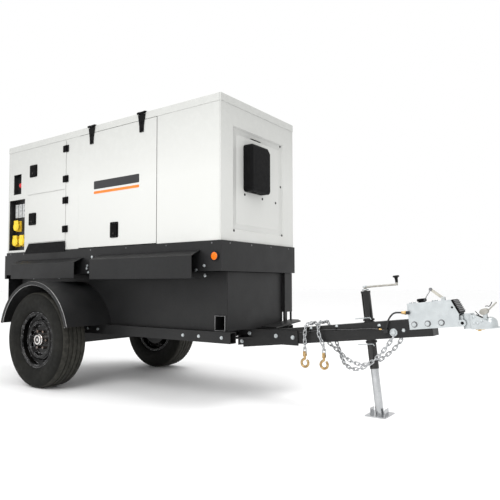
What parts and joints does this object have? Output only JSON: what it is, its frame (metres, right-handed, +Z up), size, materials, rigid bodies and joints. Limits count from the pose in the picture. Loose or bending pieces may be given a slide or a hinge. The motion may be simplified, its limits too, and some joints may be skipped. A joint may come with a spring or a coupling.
{
  "type": "towable diesel generator",
  "caption": "Sound-enclosed diesel generator on a two-wheel trailer with a surge-brake ball coupler, jack, safety chains and fenders.",
  "frame": {"origin": "on the ground under the middle of the machine's box", "axes": "+X towards the hitch, +Y the trailer's left, +Z up"},
  "size_m": [3.982, 1.48, 2.008],
  "materials": {
    "white_paint": "satin powder coat",
    "black_paint": "satin powder coat",
    "black_hardware": "matt black coat",
    "rim_paint": "gloss black",
    "zinc": "bright zinc plate",
    "gold_zinc": "yellow chromate",
    "chrome": "bright",
    "tyre": "rubber",
    "hose_rubber": "matt",
    "black_plastic": "moulded",
    "fan_plastic": "moulded",
    "red_plastic": "gloss",
    "yellow_plastic": "gloss",
    "lamp_lens": "clear coloured",
    "control_face": "powder coat",
    "engine_iron": "painted casting",
    "radiator_alloy": "plain",
    "muffler_steel": "heat dulled"
  },
  "bodies": {
    "chassis": {"trailer_frame": "black_paint", "tongue_receiver": "black_paint", "tongue": "black_paint", "axle_tube": "black_paint", "fenders": "black_paint", "fuel_tank": "black_paint", "base_skid": "black_paint", "side_boxes": "black_paint", "front_panel": "white_paint", "roof_cap": "white_paint", "rear_panel": "white_paint", "right_front_panel": "white_paint", "right_rear_panel": "white_paint", "left_front_panel": "white_paint", "left_rear_panel": "white_paint", "hinge_brackets": "black_hardware", "document_box": "black_plastic", "outlet_panel": "black_plastic", "control_panel": "control_face", "engine_block": "engine_iron", "alternator": "engine_iron", "radiator": "radiator_alloy", "battery": "black_plastic", "muffler": "muffler_steel", "lamps": "lamp_lens", "actuator_housing": "zinc", "master_cylinder": "black_plastic", "jack_tube": "black_paint", "safety_chains": "zinc", "chain_hooks": "gold_zinc", "brake_hose": "hose_rubber", "wiring_harness": "hose_rubber", "frame_bolts": "zinc"},
    "arm_right": {"torsion_arm_right": "black_paint"},
    "arm_left": {"torsion_arm_left": "black_paint"},
    "wheel_right": {"tyre_right": "tyre", "rim_right": "rim_paint", "hub_right": "chrome"},
    "wheel_left": {"tyre_left": "tyre", "rim_left": "rim_paint", "hub_left": "chrome"},
    "door_right": {"door_right": "white_paint"},
    "door_left": {"door_left": "white_paint"},
    "control_upper": {"control_door_upper": "white_paint"},
    "control_lower": {"control_door_lower": "white_paint"},
    "latch_right": {"latch_right": "black_hardware"},
    "latch_upper": {"latch_upper": "black_hardware"},
    "latch_lower": {"latch_lower": "black_hardware"},
    "estop": {"estop_button": "red_plastic"},
    "cover_1": {"receptacle_cover_1": "yellow_plastic"},
    "cover_2": {"receptacle_cover_2": "yellow_plastic"},
    "cover_3": {"receptacle_cover_3": "yellow_plastic"},
    "cable_flap": {"cable_flap": "black_plastic"},
    "fuel_cap": {"fuel_cap": "black_plastic"},
    "fan": {"fan": "fan_plastic"},
    "jack_leg": {"jack_leg": "zinc"},
    "jack_crank": {"jack_crank": "zinc"},
    "coupler": {"coupler": "zinc"},
    "coupler_latch": {"coupler_latch": "zinc"},
    "breakaway_lever": {"breakaway_lever": "zinc"}
  },
  "joints": [
    {"name": "arm_swing_right", "type": "hinge", "parent": "chassis", "child": "arm_right", "pos_m": [-0.957, -0.45, 0.362], "axis": [0, 1, 0], "range_deg": [-12, 12], "stiffness_Nm_per_rad": 6000, "springref_deg": -9.17},
    {"name": "arm_swing_left", "type": "hinge", "parent": "chassis", "child": "arm_left", "pos_m": [-0.957, 0.45, 0.362], "axis": [0, 1, 0], "range_deg": [-12, 12], "stiffness_Nm_per_rad": 6000, "springref_deg": -9.17},
    {"name": "wheel_spin_right", "type": "hinge", "parent": "arm_right", "child": "wheel_right", "pos_m": [-1.107, -0.614, 0.3595], "axis": [0, 1, 0], "continuous": true},
    {"name": "wheel_spin_left", "type": "hinge", "parent": "arm_left", "child": "wheel_left", "pos_m": [-1.107, 0.614, 0.3595], "axis": [0, 1, 0], "continuous": true},
    {"name": "door_right_swing", "type": "hinge", "parent": "chassis", "child": "door_right", "pos_m": [-0.527, -0.456, 1.998], "axis": [-1, 0, 0], "range_deg": [0, 85]},
    {"name": "door_left_swing", "type": "hinge", "parent": "chassis", "child": "door_left", "pos_m": [-0.527, 0.456, 1.998], "axis": [1, 0, 0], "range_deg": [0, 85]},
    {"name": "control_upper_swing", "type": "hinge", "parent": "chassis", "child": "control_upper", "pos_m": [-1.119, -0.453, 1.746], "axis": [0, 0, 1], "range_deg": [0, 100]},
    {"name": "control_lower_swing", "type": "hinge", "parent": "chassis", "child": "control_lower", "pos_m": [-1.119, -0.453, 1.336], "axis": [0, 0, 1], "range_deg": [0, 100]},
    {"name": "latch_right_pull", "type": "hinge", "parent": "door_right", "child": "latch_right", "pos_m": [-0.531, -0.454, 1.224], "axis": [-1, 0, 0], "range_deg": [0, 35], "stiffness_Nm_per_rad": 2, "springref_deg": -11.46},
    {"name": "latch_upper_pull", "type": "hinge", "parent": "control_upper", "child": "latch_upper", "pos_m": [-1.572, -0.454, 1.786], "axis": [-1, 0, 0], "range_deg": [0, 35], "stiffness_Nm_per_rad": 2, "springref_deg": -11.46},
    {"name": "latch_lower_pull", "type": "hinge", "parent": "control_lower", "child": "latch_lower", "pos_m": [-1.578, -0.454, 1.373], "axis": [-1, 0, 0], "range_deg": [0, 35], "stiffness_Nm_per_rad": 2, "springref_deg": -11.46},
    {"name": "estop_press", "type": "slide", "parent": "chassis", "child": "estop", "axis": [0, 1, 0], "range_m": [0, 0.005], "stiffness_N_per_m": 600, "springref_m": -0.004},
    {"name": "cover_1_flip", "type": "hinge", "parent": "chassis", "child": "cover_1", "pos_m": [-1.88, -0.416, 1.342], "axis": [-1, 0, 0], "range_deg": [0, 100], "stiffness_Nm_per_rad": 0.15, "springref_deg": -17.19},
    {"name": "cover_2_flip", "type": "hinge", "parent": "chassis", "child": "cover_2", "pos_m": [-1.895, -0.416, 1.208], "axis": [-1, 0, 0], "range_deg": [0, 100], "stiffness_Nm_per_rad": 0.15, "springref_deg": -17.19},
    {"name": "cover_3_flip", "type": "hinge", "parent": "chassis", "child": "cover_3", "pos_m": [-1.788, -0.416, 1.208], "axis": [-1, 0, 0], "range_deg": [0, 100], "stiffness_Nm_per_rad": 0.15, "springref_deg": -17.19},
    {"name": "cable_flap_swing", "type": "hinge", "parent": "chassis", "child": "cable_flap", "pos_m": [-1.37, -0.4535, 1.122], "axis": [-1, 0, 0], "range_deg": [0, 80]},
    {"name": "fuel_cap_turn", "type": "hinge", "parent": "chassis", "child": "fuel_cap", "pos_m": [-0.3, 0.41, 0.74], "axis": [0, 1, 0], "range_deg": [-90, 0]},
    {"name": "fan_spin", "type": "hinge", "parent": "chassis", "child": "fan", "pos_m": [0.15, 0, 1.38], "axis": [1, 0, 0], "continuous": true},
    {"name": "jack_crank_turn", "type": "hinge", "parent": "chassis", "child": "jack_crank", "pos_m": [1.26765, 0, 0.49536], "axis": [-0.1115, 0, 0.9938], "range_deg": [-4530, 11330]},
    {"name": "jack_leg_slide", "type": "slide", "parent": "chassis", "child": "jack_leg", "axis": [-0.1115, 0, 0.9938], "range_m": [-0.0795, 0.199]},
    {"name": "coupler_slide", "type": "slide", "parent": "chassis", "child": "coupler", "axis": [-0.9938, 0, -0.1115], "range_m": [0, 0.025], "stiffness_N_per_m": 6000, "springref_m": -0.01},
    {"name": "coupler_latch_swing", "type": "hinge", "parent": "coupler", "child": "coupler_latch", "pos_m": [1.91586, 0, 0.62844], "axis": [0, -1, 0], "range_deg": [0, 70]},
    {"name": "breakaway_pull", "type": "hinge", "parent": "chassis", "child": "breakaway_lever", "pos_m": [1.71094, -0.034, 0.69703], "axis": [0, 1, 0], "range_deg": [0, 40]}
  ],
  "couplings": [
    {"joint": "jack_crank_turn", "follows": "jack_leg_slide", "rad_per_m": 989.48}
  ]
}
